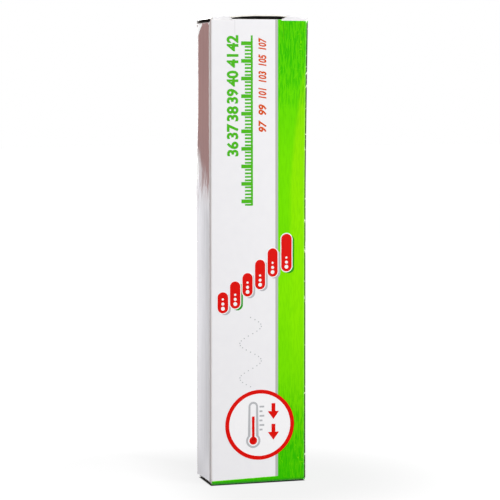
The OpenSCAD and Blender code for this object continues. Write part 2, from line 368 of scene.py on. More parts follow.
def printed_board():
    """Coated folding board: white with a grey stripe and a lime band, with painted shade at its
    upright creases and lower fold, a painted highlight along its foot strip, and worn varnish at its green
    crease.
    """
    s = Shader("printed_board")
    x, y, z = s.place(flat=True)
    front = s.ramp(y, 0, -1)
    on_face = s.ramp(s.math("ABSOLUTE", y), *FACE_Y)
    on_fold = s.ramp(y, *FOOT_FOLD_Y)
    stripe = s.every(s.between(x, STRIPE_X, BAND_X, PRINT_SOFT), on_face)
    colour = s.mix(stripe, white_paint(s), STRIPE_GREY)
    tilted = s.minus(z, s.every(x, FOOT_STRIP_TILT))
    foot = s.every(s.ramp(tilted, FOOT_STRIP_Z + 0.06, FOOT_STRIP_Z - 0.06), on_fold)
    band = s.larger(s.ramp(x, BAND_X - PRINT_SOFT, BAND_X + PRINT_SOFT), foot)
    colour = s.mix(band, colour, green_paint(s, x, z))
    # Painted highlight: a pale green line along the top of the foot strip, where its fold catches the
    # light
    foot_highlight = s.between(tilted, FOOT_STRIP_Z - FOOT_HIGHLIGHT_WIDTH, FOOT_STRIP_Z, PRINT_SOFT)
    colour = s.mix(s.every(foot_highlight, foot, s.ramp(x, BAND_X, STRIPE_X)), colour, PALE_GREEN)
    # Painted shade: the green darkens towards the lower fold, which is in shadow
    colour = s.mix(s.every(s.ramp(z, *FOOT_PAINTED_SHADE_Z), on_fold), colour, FOOT_PAINTED_SHADE, 0.65)
    hairline = s.every(s.between(x, *HAIRLINE_X, PRINT_SOFT), s.ramp(z, *HAIRLINE_Z), front)
    colour = s.mix(hairline, colour, HAIRLINE_GREY, 0.7)
    wander = s.plus(x, s.every(s.noise(0.8, 2.0, (0, 0, 1)), 0.5))
    scratch = s.every(s.between(wander, *SCRATCH_X, 0.1), s.ramp(z, *SCRATCH_Z), front)
    colour = s.mix(scratch, colour, SCRATCH_GREEN, 0.6)
    colour, worn = creased(s, colour, x, y, z)
    return varnish(s, colour, worn=worn)


def side_board():
    """The bare white side of the sleeve. Its varnish waves along the grain, most in one stretch."""
    s = Shader("side_board")
    x, y, z = s.place(flat=True)
    wave = s.span(s.between(z, *STREAK_Z, soft=5), SIDE_WAVE, STREAK_WAVE)
    colour = creased(s, white_paint(s), x, y, z)[0]
    return varnish(s, colour, wave, ior=1.85, blur=0.02)


def white_board():
    """Coated board without print, for the flaps and the top lid."""
    s = Shader("white_board")
    s.place()
    return varnish(s, white_paint(s))


def green_board():
    """Coated board printed green all over, for the bottom lid, with the band's painted reflection."""
    s = Shader("green_board")
    x, _, z = s.place()
    return varnish(s, green_paint(s, x, z))


def raw_board():
    """The grey, uncoated inner side of the board, with its fibres and dark flecks."""
    s = Shader("raw_board")
    s.place()
    fibre = s.noise(2.4, 6.0, (1, 1, 0.35))
    fleck = s.ramp(s.noise(5.0, 2.0), 0.62, 0.7)
    colour = s.mix(fibre, rgb(120, 114, 107), rgb(142, 137, 129))
    colour = s.mix(fleck, colour, rgb(92, 87, 80), 0.5)
    return s.finish(base_color=colour, roughness=0.85, normal=s.bump(fibre, 0.3, 0.06))


RULED_PITCH = 2.2
RULED_HALF = (11.2, 11.0)


def paper():
    """Thin printing paper with faint ruled lines."""
    s = Shader("paper")
    x, _, z = s.place(flat=True)
    fibre = s.noise(1.6, 5.0)
    colour = s.mix(fibre, rgb(236, 234, 226), rgb(224, 222, 213))
    row = s.off(s.math("FRACT", s.math("DIVIDE", z, RULED_PITCH)), 0.5)
    inset = s.ramp(s.math("ABSOLUTE", x), *RULED_HALF)
    broken = s.ramp(s.noise(1.0, 1.0, (1, 1, 0.01)), 0.3, 0.36)
    ruled = s.every(s.ramp(row, 0.16, 0.12), inset, broken)
    colour = s.mix(ruled, colour, rgb(150, 150, 152), 0.45)
    return s.finish(base_color=colour, roughness=0.8, normal=s.bump(fibre, 0.15, 0.03))


def mottled(name, tones, grain, rough, relief=None, **finish):
    """Two tones mixed by noise of a grain (scale, detail, stretch), which also gives the relief
    (strength, depth) and, where rough is a pair, the shine."""
    s = Shader(name)
    s.place()
    pattern = s.noise(*grain)
    if isinstance(rough, tuple):
        rough = s.span(pattern, *rough)
    if relief:
        finish["normal"] = s.bump(pattern, *relief)
    colour = s.mix(pattern, *(rgb(*tone) for tone in tones))
    return s.finish(base_color=colour, roughness=rough, **finish)


def ink(name, colour, shade):
    """A printed ink: nearly even, with a little mottling and a satin shine."""
    return mottled(name, (colour, shade), (2.2, 4.0), 0.3, (0.1, 0.02), specular_ior_level=0.2)


def plastic(name, colour, shade, rough):
    """Moulded plastic with a faint flow pattern."""
    flow = (0.25, 3.0, (1, 1, 0.4))
    return mottled(name, (colour, shade), flow, (rough, rough + 0.12), (0.1, 0.05))


def linked(name, data):
    """A new object in the scene."""
    made = bpy.data.objects.new(name, data)
    SCENE.collection.objects.link(made)
    return made


def keep_mesh(name, vertices, faces, looks, materials, flat=None):
    """A smooth-shaded mesh object from points in millimetres, with their places before a bend."""
    mesh = bpy.data.meshes.new(name)
    mesh.from_pydata([[c * MM for c in v] for v in vertices], [], faces)
    for material in materials:
        mesh.materials.append(material)
    mesh.polygons.foreach_set("material_index", looks)
    work = bmesh.new()
    work.from_mesh(mesh)
    bmesh.ops.recalc_face_normals(work, faces=work.faces)
    work.to_mesh(mesh)
    work.free()
    mesh.shade_smooth()
    mesh.set_sharp_from_angle(angle=SHARP_ANGLE)
    if flat:
        places = mesh.attributes.new(FLAT, "FLOAT_VECTOR", "POINT")
        places.data.foreach_set("vector", [c * MM for point in flat for c in point])
    return linked(name, mesh)


def rim(reach, power, half):
    """Steps round a board's edge, from its outer to its inner side: (along, across)."""
    for k in range(1, RIM_STEPS + 1):
        angle = pi * k / (RIM_STEPS + 1)
        across = copysign(abs(cos(angle)) ** power, cos(angle))
        yield reach * sin(angle) ** power, half * across


def as_drawn(point):
    return point


def sheet(name, columns, place, materials, shares, thick=BOARD, bend=as_drawn, outer_look=lambda u: 0):
    """A board or paper piece. A column is (u, start, end, start edge, end edge) along the sheet,
    place(u, v, w) gives its points before the bend, shares are its steps from start to end, and
    the materials are outer side, inner side and cut edge."""
    half = thick / 2
    rows = len(shares) - 1
    flat, faces, looks = [], [], []
    size = 2 * (rows + 1 + RIM_STEPS)
    for u, start, end, start_edge, end_edge in columns:
        outer = [(start + (end - start) * share, half) for share in shares]
        loop = list(outer)
        loop += [(end + along, across) for along, across in rim(*end_edge, half)]
        loop += [(v, -half) for v, _ in reversed(outer)]
        loop += [(start - along, -across) for along, across in rim(*start_edge, half)]
        flat += [place(u, v, w) for v, w in loop]
    inner_from = rows + RIM_STEPS + 1
    for c in range(len(columns) - 1):
        start_look, end_look = (0 if edge == FOLD else 2 for edge in columns[c][3:])
        look = [outer_look(columns[c][0])] * rows + [end_look] * (RIM_STEPS + 1)
        look += [1] * rows + [start_look] * (RIM_STEPS + 1)
        for i in range(size):
            a, b = c * size + i, c * size + (i + 1) % size
            faces.append((a, b, b + size, a + size))
            looks.append(look[i])
    for base in (0, (len(columns) - 1) * size):
        last = inner_from + rows
        for i in range(rows):
            faces.append([base + k for k in (i, i + 1, last - i - 1, last - i)])
        faces.append([base + k for k in range(rows, inner_from + 1)])
        faces.append([base + k % size for k in range(last, size + 1)])
        looks += [2] * (rows + 2)
    return keep_mesh(name, [bend(point) for point in flat], faces, looks, materials, flat=flat)


def line(start, end, count):
    """Even steps from start to end, both included."""
    return [start + (end - start) * i / count for i in range(count + 1)]


def ride(piece, body, slot, *nodes):
    """Ties a piece to its body and hides the CAD nodes that it stands for. Its slot is not used."""
    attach(piece, body)
    if nodes:
        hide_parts(*nodes)


# The sleeve: one board folded round four creases, open at the glued seam. Its wear in millimetres
FRONT_FROM_Y = 3
LEFT_FROM_X = -14
FLARE = 0.75
FLARE_FROM = 92.0
FLARE_POWER = 1.3
SPREAD = 0.28
LEFT_SPREAD = 0.3
LEFT_CLOSING = 0.85
FRONT_BOW = 0.1
SWELL = 0.75
SWELL_Z = (128, 84)
DOG_EAR = 0.06
DOG_EAR_FROM = 1.0
DOG_EAR_SLOPE = 1.5
SHOULDER = 0.22
SHOULDER_DROP = 0.6
SHOULDER_FROM_Y = 6.8
FOLD_RISE = 0.22
FOLD_RISE_Z = (2.2, 0.4)
FOLD_RISE_Y = (-7, -7.4)


def warp(point):
    """The used sleeve: flared at its upper right, bowed in front, swollen and dog-eared at its back
    left corner, and sprung up at the lower front fold."""
    x, y, z = point
    front = smooth(y, FRONT_FROM_Y, -HALF_D)
    left = smooth(x, LEFT_FROM_X, -MID_W)
    backward = (y + HALF_D) / (2 * HALF_D)
    rise = max(0.0, (z - FLARE_FROM) / (HEIGHT - FLARE_FROM))
    flare = (SPREAD + FLARE * rise**FLARE_POWER) * smooth(x, BAND_X, HALF_W) * front
    lean = LEFT_SPREAD * (1 - LEFT_CLOSING * z / HEIGHT) * smooth(x, -BAND_X, -HALF_W) * (1 - backward)
    bow = FRONT_BOW * sin(pi * z / HEIGHT) * max(0.0, 1 - (x / HALF_W) ** 2) * front
    ear = DOG_EAR * max(0.0, y - DOG_EAR_FROM - DOG_EAR_SLOPE * (SIDE_TOP - z)) * left
    swell = SWELL * backward**2 * smooth(z, *SWELL_Z) * left
    above = max(0.0, z - SIDE_TOP + SHOULDER_DROP)
    shoulder = SHOULDER * above**2 * left * smooth(abs(y), MID_D, SHOULDER_FROM_Y)
    sprung = FOLD_RISE * smooth(z, *FOLD_RISE_Z) * smooth(y, *FOLD_RISE_Y) * smooth(x, -HALF_W, HALF_W)
    return x + flare + shoulder - lean - ear - swell, y - bow, z + sprung


def arc(cx, cy, r, start, end, steps=8):
    """Points on an arc with their outward normals: (x, y, nx, ny)."""
    angles = [radians(a) for a in line(start, end, steps)]
    return [(cx + r * cos(a), cy + r * sin(a), cos(a), sin(a)) for a in angles]


def off_path(point, z, w):
    """A place at height z, w out from an (x, y, nx, ny) point of a path."""
    px, py, nx, ny = point
    return px + nx * w, py + ny * w, z


# The front panel's upper edge drops outside two steps, apart from its left end
END_DROP = 0.35
FRONT_STEPS = (-8.5, 7.85)
STEP_OUT = 0.2
STEP_IN = 0.15
STEP_COLUMNS = (-0.2, -0.12, -0.03, 0.06, 0.15, 0.2)
LEFT_END_X = (-14.6, -14.9)


def front_top(x):
    """Height of the front panel's upper edge: lower beside the lid's tuck crease."""
    left, right = FRONT_STEPS
    middle = smooth(x, left - STEP_OUT, left + STEP_IN) * smooth(x, right + STEP_OUT, right - STEP_IN)
    return FRONT_HIGH.z - END_DROP + END_DROP * max(middle, smooth(x, *LEFT_END_X))


SEAM_R = CORNER_R - 0.2
SEAM_GAP = 0.35
SLIT_FROM = 135
SLIT_TO = 139
CREASE_NEAR = 0.06


def sleeve():
    seam_x = MID_W - BOARD - SEAM_R
    side_edge = MID_D - CORNER_R - STEP
    front_edge = MID_W - CORNER_R - STEP
    extra = [step + d for step in FRONT_STEPS for d in STEP_COLUMNS]
    extra += [CREASE_NEAR - front_edge, front_edge - CREASE_NEAR]
    front_xs = sorted(line(-front_edge, front_edge, 30) + extra, reverse=True)
    side = (SIDE_FOOT, SIDE_TOP, FOLD, FOLD)
    front_corner = (FRONT_LOW.z, FRONT_HIGH.z - END_DROP, CUT, CUT)
    left_corner = (FRONT_LOW.z, FRONT_HIGH.z, CUT, CUT)
    side_corner = (SIDE_FOOT - BOARD / 2, SIDE_TOP + BOARD / 2, CUT, CUT)
    back_corner = (CUT[0], TOP_HINGE.z - BOARD, CUT, CUT)
    back = (CUT[0], TOP_HINGE.z, CUT, FOLD)
    corner_x, corner_y = MID_W - CORNER_R, MID_D - CORNER_R
    path = []

    def run(points, span):
        path.extend((point, *span) for point in points)

    run([(MID_W, y, 1, 0) for y in line(MID_D - SEAM_GAP, -side_edge, 14)], side)
    run(arc(corner_x, -corner_y, CORNER_R, 0, -90), front_corner)
    path.extend(((x, -MID_D, 0, -1), BOTTOM_HINGE.z, front_top(x), FOLD, CUT) for x in front_xs)
    run(arc(-corner_x, -corner_y, CORNER_R, -90, -SLIT_FROM, 4), left_corner)
    run(arc(-corner_x, -corner_y, CORNER_R, -SLIT_TO, -180, 4), side_corner)
    run([(-MID_W, y, -1, 0) for y in line(-side_edge, side_edge, 16)], side)
    run(arc(-corner_x, corner_y, CORNER_R, 180, SLIT_TO, 4), side_corner)
    run(arc(-corner_x, corner_y, CORNER_R, SLIT_FROM, 90, 4), (side_corner[0], *back_corner[1:]))
    run([(x, MID_D, 0, 1) for x in line(-front_edge, seam_x, 30)], back)
    run(arc(seam_x + STEP, MID_D - SEAM_R, SEAM_R, 90, 0), back_corner)

    def outer_look(point):
        return 3 if point[2] == -1 else 0

    looks = (PRINT, RAW, EDGE, SIDE)
    shares = line(0, 0.04, 8) + line(0.04, 0.9, 50)[1:] + line(0.9, 1, 30)[1:]
    piece = sheet("sleeve_board", path, off_path, looks, shares, bend=warp, outer_look=outer_look)
    nodes = ("front_panel", "back_panel", "left_side_panel", "right_side_panel")
    ride(piece, "sleeve", "printed_board", *nodes)


# Closures: each flap is drawn for the top end, and turned about X for the bottom end
ARCH = ((-16.0, 0.0), (-8.8, 0.42), (-4.5, 0.8), (0.0, 0.97), (6.0, 0.98), (9.4, 0.8), (16.0, 0.05))
ARCH_FROM = 0.25
SLIT = (-9.2, 9.6)
EDGE_WEAR = 0.85
BEVEL = 0.7
LID_SPREAD = 0.85
LID_SPREAD_X = 6
LID_SPREAD_FROM = 0.3
SPRUNG_DEPTH = 5
EAR = 0.9
EAR_LEN = 0.6
CREASE_PAST = 0.1
CREASE_SHIFT = 0.4
NEST = 0.985


def arched(x):
    """How far the worn top lid stands up along its front crease."""
    for (x0, h0), (x1, h1) in zip(ARCH, ARCH[1:]):
        if x <= x1:
            return h0 + (h1 - h0) * smooth(x, x0, x1)
    return ARCH[-1][1]


def flat_lid(x):
    return 0.0


def turned(point):
    """The bottom closure's place of a point of the top closure."""
    x, y, z = point
    return x, -y, HEIGHT - z


def lid(name, body, slot, end, arch, spread, ear, sprung, materials, node):
    """A lid with a crease at its front, slit over the thumb notch, and a cut tab on either side."""
    reach = TOP_HINGE.y - TUCK_HINGE.y + CREASE_SHIFT
    crease_end = TUCK_HALF + CREASE_PAST
    ear_end = crease_end + ear
    side = LID_HIGH.x
    columns = []
    tabs = line(-side, BEVEL - side, 4)[:-1] + line(BEVEL - side, -crease_end - STEP, 3)
    for x in tabs + line(ear_end + STEP, side, 3):
        columns.append((x, 0, reach, FOLD, CUT))
    for x in line(-crease_end, SLIT[0] - STEP, 8) + line(SLIT[1] + STEP, ear_end, 8):
        columns.append((x, 0, reach, FOLD, FOLD))
    for x in line(*SLIT, 24):
        columns.append((x, 0, reach + BOARD / 2, FOLD, CUT))
    columns.sort()

    def place(x, v, w):
        lift = arch(x) * smooth(v, reach * ARCH_FROM, reach + BOARD)
        lift -= sprung * smooth(v, SPRUNG_DEPTH, 0) * smooth(x, -side, side)
        wide = spread * smooth(x, LID_SPREAD_X, side) * smooth(v, reach * LID_SPREAD_FROM, reach)
        rubbed = (BOARD / 2 + w) * EDGE_WEAR * smooth(x, BEVEL - side, -side)
        return end((x + wide, TOP_HINGE.y - v, TOP_HINGE.z + (w - rubbed) * NEST + lift))

    ride(sheet(name, columns, place, materials, line(0, 1, 18)), body, slot, node)


def tuck_flap(name, body, end, arch, spread, ear, node):
    """A tuck flap with round lower corners and the thumb notch in its crease."""
    half = TUCK_HALF
    round_from = half - TUCK_CORNER_R
    slit_mid, slit_half = (SLIT[0] + SLIT[1]) / 2, (SLIT[1] - SLIT[0]) / 2
    xs = line(-half, -round_from, 8) + line(-round_from, round_from, 44)[1:-1] + line(round_from, half, 8)
    xs += [end_x + d for end_x in SLIT for d in (-STEP, STEP)]
    columns = []
    for x in sorted(xs):
        over = max(0.0, abs(x) - round_from)
        bottom = TUCK_LEN - TUCK_CORNER_R + sqrt(max(0.0, TUCK_CORNER_R**2 - over**2))
        if SLIT[0] < x < SLIT[1]:
            along = (x - slit_mid) / slit_half * NOTCH_HALF
            top = sqrt(NOTCH_R**2 - along * along) - (NOTCH_R - NOTCH_DEPTH)
            columns.append((x, top, bottom, CUT, CUT))
        else:
            columns.append((x, 0, bottom, FOLD, CUT))
    if ear:
        columns += [(x, 0, EAR_LEN, FOLD, CUT) for x in line(half + STEP, half + ear, 3)]
    lean_y, lean_z = sin(TUCK_LEAN), cos(TUCK_LEAN)

    def place(x, v, w):
        near = smooth(v, TUCK_LEN, 0)
        y = TUCK_HINGE.y + v * lean_y - w * lean_z - CREASE_SHIFT * near
        wide = spread * smooth(x, LID_SPREAD_X, half) * near
        return end((x + wide, y, TUCK_HINGE.z - v * lean_z - w * lean_y + arch(x) * near))

    ride(sheet(name, columns, place, WHITE_LOOK, line(0, 1, 8)), body, "printed_board", node)


def dust_flap(name, body, side, hinge_z, end, node):
    """A dust flap whose back edge tapers towards its tip."""
    low, high = DUST_LOW.y, DUST_HIGH.y
    tip_back = high - DUST_TAPER * DUST_LEN
    columns = [(y, 0, DUST_LEN, FOLD, CUT) for y in line(low, tip_back, 6)]
    for y in line(tip_back, high - DUST_BLUNT, 10)[1:]:
        columns.append((y, 0, (high - y) / DUST_TAPER, FOLD, CUT))

    def place(y, v, w):
        return end((side * (MID_W - v), y, hinge_z + w * NEST))

    ride(sheet(name, columns, place, WHITE_LOOK, line(0, 1, 10)), body, "printed_board", node)


def closures():
    top_look = as_drawn, arched, LID_SPREAD, EAR
    bottom_look = turned, flat_lid, 0.0, 0.0
    lid("top_lid_board", "top_lid", "printed_board", *top_look, 0.0, WHITE_LOOK, "top_lid")
    lid("bottom_lid_board", "bottom_lid", "green_board", *bottom_look, FOLD_RISE, GREEN_LOOK, "bottom_lid")
    tuck_flap("top_tuck_board", "top_tuck", *top_look, "top_tuck_flap")
    tuck_flap("bottom_tuck_board", "bottom_tuck", *bottom_look, "bottom_tuck_flap")
    for side, hand in ((-1, "left"), (1, "right")):
        for where, hinge_z, end in (("top", SIDE_TOP, as_drawn), ("bottom", HEIGHT - SIDE_FOOT, turned)):
            body = f"{where}_dust_{hand}"
            dust_flap(f"{body}_board", body, side, hinge_z, end, f"{where}_dust_flap_{hand}")


# Print on the front panel: films of ink with their feet in the board
def on_front(x, z, lift):
    return warp((x, -HALF_D - lift, z))


class Print:
    """Flat ink shapes of one piece, on one of the levels of ink. place(x, z, lift) gives their points."""

    def __init__(self, name, ink, level=0, place=on_front):
        self.name = name
        self.ink = ink
        self.place = place
        self.levels = (-INK_DEPTH, INK_LIFTS[level])
        self.vertices = []
        self.faces = []

    def film(self, points, faces):
        """Adds points (x, z, upper side or not) and faces as they are."""
        first = len(self.vertices)
        self.vertices += [self.place(x, z, self.levels[up]) for x, z, up in points]
        self.faces += [[first + i for i in face] for face in faces]

    def ribbon(self, pairs, closed=False):
        """A band between pairs of points on its two sides."""
        count = len(pairs)
        points = [(*side, up) for pair in pairs for up in (1, 0) for side in pair]
        faces = []
        for k in range(count if closed else count - 1):
            a, b = 4 * k, 4 * ((k + 1) % count)
            faces += [(a + i, a + j, b + j, b + i) for i, j in ((0, 1), (1, 3), (3, 2), (2, 0))]
        if not closed:
            faces += [(e, e + 1, e + 3, e + 2) for e in (0, 4 * (count - 1))]
        self.film(points, faces)

    def polygon(self, outline):
        count = len(outline)
        points = [(x, z, up) for up in (1, 0) for x, z in outline]
        sides = [(i, (i + 1) % count, count + (i + 1) % count, count + i) for i in range(count)]
        self.film(points, sides + [range(count), range(2 * count - 1, count - 1, -1)])

    def bar(self, x0, z0, x1, z1):
        self.ribbon([((x0, z), (x1, z)) for z in line(z0, z1, max(1, round(abs(z1 - z0) / 3)))])

    def disc(self, x, z, r, count=12):
        """A disc in upright strips, so that it follows a bowed panel."""
        upper = arc(x, z, r, 180 - 90 / count, 90 / count, count)
        self.ribbon([(p[:2], (p[0], 2 * z - p[1])) for p in upper])

    def ring(self, x, z, r, width, count=72):
        outer, inner = (arc(x, z, r - inset, 0, 360, count)[:-1] for inset in (0, width))
        self.ribbon([(o[:2], i[:2]) for o, i in zip(outer, inner)], closed=True)

    def numeral(self, text, put, shear=0.0, weight=0.0):
        """Numerals in the plain built-in type. put(u, v) gives the place of a point of theirs,
        where v is 0 to 1 from foot to head and u is 0 in their middle."""
        curve = bpy.data.curves.new("numeral", "FONT")
        curve.body = text
        curve.shear = shear
        curve.offset = weight
        curve.extrude = 1.0
        curve.resolution_u = 3
        made = bpy.data.objects.new("numeral", curve)
        mesh = made.to_mesh()
        spots = [v.co.copy() for v in mesh.vertices]
        faces = [tuple(p.vertices) for p in mesh.polygons]
        made.to_mesh_clear()
        bpy.data.objects.remove(made)
        bpy.data.curves.remove(curve)
        low, high = min(c.y for c in spots), max(c.y for c in spots)
        middle = (min(c.x for c in spots) + max(c.x for c in spots)) / 2
        size = high - low
        self.film([(*put((c.x - middle) / size, (c.y - low) / size), int(c.z > 0)) for c in spots], faces)

    def keep(self, body="sleeve", slot="printed_board"):
        piece = keep_mesh(self.name, self.vertices, self.faces, [0] * len(self.faces), [self.ink])
        ride(piece, body, slot)


# Scale print in three upright lines: numerals, a ruler and slanted numerals. A tooth of the ruler is
# (x of its tip, half of its height)
LINES_TO = 144.4
DEGREES = range(36, 43)
TOP_DEGREE = DEGREES[-1]
DEGREE_PITCH = 5.6
DEGREE_INSET = 0.45
CELSIUS_FOOT = -6.5
CELSIUS_SIZE = 3.85
RULER_X = (-2.4, -1.75)
RULER_FIFTHS = 47
RULER_DEGREES = 9.25
LONG_TOOTH = (-5.6, 0.6)
SHORT_TOOTH = (-4.4, 0.3)
FAHRENHEIT = range(97, 108, 2)
FAHRENHEIT_PITCH = 5.25
FAHRENHEIT_FOOT = 2.8
FAHRENHEIT_SIZE = 2.7
NARROW = 0.74


def degree_z(degree):
    return LINES_TO - DEGREE_PITCH * (TOP_DEGREE - degree + DEGREE_INSET)


def upright(foot_x, size, middle_z, stretch):
    """Places numerals that read from the bottom to the top."""
    return lambda u, v: (foot_x - v * size, middle_z + u * size * stretch)


def scale_print():
    green, red = Print("scale_print_green", GREEN_INK), Print("scale_print_red", ORANGE_INK)
    for degree in DEGREES:
        put = upright(CELSIUS_FOOT, CELSIUS_SIZE, degree_z(degree), 1.0)
        green.numeral(str(degree), put, weight=0.04)
    for fifth in range(TOP_DEGREE * 5, TOP_DEGREE * 5 - RULER_FIFTHS, -1):
        z = degree_z(fifth / 5)
        tip, half = SHORT_TOOTH if fifth % 5 else LONG_TOOTH
        green.bar(tip, z - half, RULER_X[0], z + half)
    green.bar(RULER_X[0], degree_z(TOP_DEGREE - RULER_DEGREES), RULER_X[1], LINES_TO)
    for k, degree in enumerate(FAHRENHEIT):
        middle = LINES_TO - FAHRENHEIT_PITCH * (len(FAHRENHEIT) - k - 0.5)
        put = upright(FAHRENHEIT_FOOT, FAHRENHEIT_SIZE, middle, NARROW if degree > 99 else 1.0)
        red.numeral(str(degree), put, shear=0.22, weight=0.035)
    green.keep()
    red.keep()


# Rising columns, as (x, foot, head), with their outlines, shadows and spots, over a dotted wave
COLUMNS = (
    (-11.7, 55.6, 62.4),
    (-7.7, 57.0, 65.8),
    (-3.6, 60.8, 68.4),
    (0.6, 63.0, 72.6),
    (4.8, 67.0, 76.2),
    (9.4, 68.6, 80.8),
)
COLUMN_HALF = 1.7
OUTLINE = 0.28
SHADOW_X = 0.75
SHADOW_FOOT = -0.6
SHADOW_HEAD = -0.4
SHADOW_WIDER = 0.1
SPOTS = 3
SPOT_PITCH = 1.5
SPOT_R = 0.62
SPOT_SHRINK = 0.13
WAVE_X = -2.6
WAVE_Z = (54.0, 31.5)
WAVE_SWING = 3.6
WAVE_PITCH = 11.25
WAVE_DOTS = 30
DOT_R = 0.2


def capsule(x, low, high, half):
    """Outline of an upright bar with round ends."""
    top = arc(x, high - half, half, 0, 180, 14)
    foot = arc(x, low + half, half, 180, 360, 14)
    return [p[:2] for p in top + foot]


def artwork_print():
    white, red = Print("artwork_white", WHITE_INK, 1), Print("artwork_red", RED_INK, 2)
    spots = Print("artwork_spots", WHITE_INK, 3)
    green, grey = Print("artwork_green", DARK_GREEN_INK), Print("artwork_grey", GREY_INK)
    for x, low, high in COLUMNS:
        shadow = green if x > BAND_X or x == COLUMNS[1][0] else grey
        half = COLUMN_HALF + SHADOW_WIDER
        shadow.polygon(capsule(x + SHADOW_X, low + SHADOW_FOOT, high + SHADOW_HEAD, half))
        white.polygon(capsule(x, low - OUTLINE, high + OUTLINE, COLUMN_HALF + OUTLINE))
        red.polygon(capsule(x, low, high, COLUMN_HALF))
        for k in range(SPOTS):
            spots.disc(x, low + SPOT_PITCH * (k + 1), SPOT_R - SPOT_SHRINK * k, 10)
    for z in line(*WAVE_Z, WAVE_DOTS):
        turn = 2 * pi * (WAVE_Z[0] - z) / WAVE_PITCH
        grey.disc(WAVE_X + WAVE_SWING * sin(turn), z, DOT_R, 6)
    for film in (white, red, spots, green, grey):
        film.keep()


# Ringed pictogram: a gauge with ticks, and two arrows that point down. A neck is the angle at which
# the gauge's outline leaves its bulb
RING_X = 0.48
RING_Z = 18.95
RING_R = 11.45
RING_STROKE = 1.25
GAUGE_X = RING_X - 2.2
GAUGE_HEAD = RING_Z + 7.6
GAUGE_R = 1.6
GAUGE_STROKE = 0.65
GAUGE_LEVEL = RING_Z + 2.8
LEVEL_HALF = 0.45
BULB_Z = RING_Z - 5.1
BULB_R = 2.4
BULB_FILL_R = 1.3
OUTER_NECK = 138
INNER_NECK = 123
TICKS = 6
TICK_FROM = RING_Z - 1.6
TICK_PITCH = 1.5
TICK_HALF = 0.28
TICK_X = GAUGE_X + 2.1
LONG_TICK = GAUGE_X + 3.7
SHORT_TICK = GAUGE_X + 3.1
ARROW_X = RING_X + 4.6
ARROWS_Z = (RING_Z + 4.9, RING_Z - 1.9)
ARROW_HEAD = ((-1.9, -0.6), (0.0, -3.2), (1.9, -0.6))
ARROW_SHAFT = (-0.65, -0.7, 0.65, 2.0)


def gauge_outline(inset, neck):
    tube = arc(GAUGE_X, GAUGE_HEAD - GAUGE_R, GAUGE_R - inset, 0, 180, 12)
    bulb = arc(GAUGE_X, BULB_Z, BULB_R - inset, neck, 540 - neck, 24)
    return [p[:2] for p in tube + bulb]


def ring_print():
    white, red = Print("ring_white", WHITE_INK), Print("ring_red", RED_INK, 2)
    grey = Print("ring_grey", GREY_INK, 1)
    white.disc(RING_X, RING_Z, RING_R - 0.2, 40)
    red.ring(RING_X, RING_Z, RING_R, RING_STROKE)
    outside, inside = gauge_outline(0.0, OUTER_NECK), gauge_outline(GAUGE_STROKE, INNER_NECK)
    grey.ribbon(list(zip(outside, inside)), closed=True)
    red.disc(GAUGE_X, BULB_Z, BULB_FILL_R)
    red.bar(GAUGE_X - LEVEL_HALF, BULB_Z, GAUGE_X + LEVEL_HALF, GAUGE_LEVEL)
    for k in range(TICKS):
        z = TICK_FROM + TICK_PITCH * k
        grey.bar(TICK_X, z - TICK_HALF, LONG_TICK if k % 2 else SHORT_TICK, z + TICK_HALF)
    for z in ARROWS_Z:
        left, low, right, high = ARROW_SHAFT
        red.polygon([(ARROW_X + dx, z + dz) for dx, dz in ARROW_HEAD])
        red.bar(ARROW_X + left, z + low, ARROW_X + right, z + high)
    for film in (white, red, grey):
        film.keep()


# Contents: closed skins over oval rings, which come from (width, depth, z) sections
def oval(width, depth, z, steps=14):
    """Points round a flat oval at one height."""
    reach, r = (width - depth) / 2, depth / 2
    ends = arc(reach, 0, r, -90, 90, steps) + arc(-reach, 0, r, 90, 270, steps)
    return [(p[0], p[1], z) for p in ends]


def loft(name, rings, material):
    """A closed skin over rings of equally many points, with both ends closed."""
    size = len(rings[0])
    vertices = [point for ring in rings for point in ring]
    faces = [range(size), range(len(vertices) - size, len(vertices))]
    for r in range(len(rings) - 1):
        for i in range(size):
            a, b = r * size + i, r * size + (i + 1) % size
            faces.append((a, b, b + size, a + size))
    return keep_mesh(name, vertices, faces, [0] * len(faces), [material])


def shell(name, sections, material):
    return loft(name, [oval(*section) for section in sections], material)


def grown(size, by):
    """A width and depth that are both larger by the same length."""
    return size[0] + by, size[1] + by


def profile(size, z, steps):
    """Sections from steps, each of them (how much larger, how far above z)."""
    return [(*grown(size, by), z + up) for by, up in steps]


def rounded(size, z, r, start, end, steps=5):
    """Sections round an edge whose full size is at z, where the angle is 0. At 90 degrees it ends."""
    turns = [radians(a) for a in line(start, end, steps)]
    return [(*grown(size, -2 * r * (1 - cos(a))), z + r * sin(a)) for a in turns]


# One groove: (share of the pitch, share of the depth)
GROOVE = ((0.0, 0), (0.12, 0.6), (0.25, 1), (0.38, 0.6), (0.5, 0))


def grooves(size, start, pitch, count, deep):
    """Sections of grip grooves round an oval."""
    spots = [(start + pitch * (k + share), inset) for k in range(count) for share, inset in GROOVE]
    return [(*grown(size, -2 * deep * inset), z) for z, inset in spots]


NECK = (16.0, 7.4)
NECK_EDGE = 0.25
NECK_BEAD = ((0, 0), (0, 1.6), (0.14, 1.9), (0.14, 2.5), (0, 2.8))
CAVITY = (14.8, 6.2)
CAVITY_EDGE = 0.3
CAVITY_FLOOR = 3.0
CAVITY_FOOT = ((0, 1.2), (-1.2, 0.1), (-3.0, 0))
CASE_FOOT_R = 1.2
CASE_GAP = 0.1
CAP_BORE = (16.2, 7.6)
CAP_ROOF = 3.0
CAP_ROOF_EDGE = ((-3.0, 0), (-0.6, -0.1), (0, -0.5))
CAP_MOUTH = ((0, 0.3), (0.3, 0))
CAP_TOP_R = 2.2


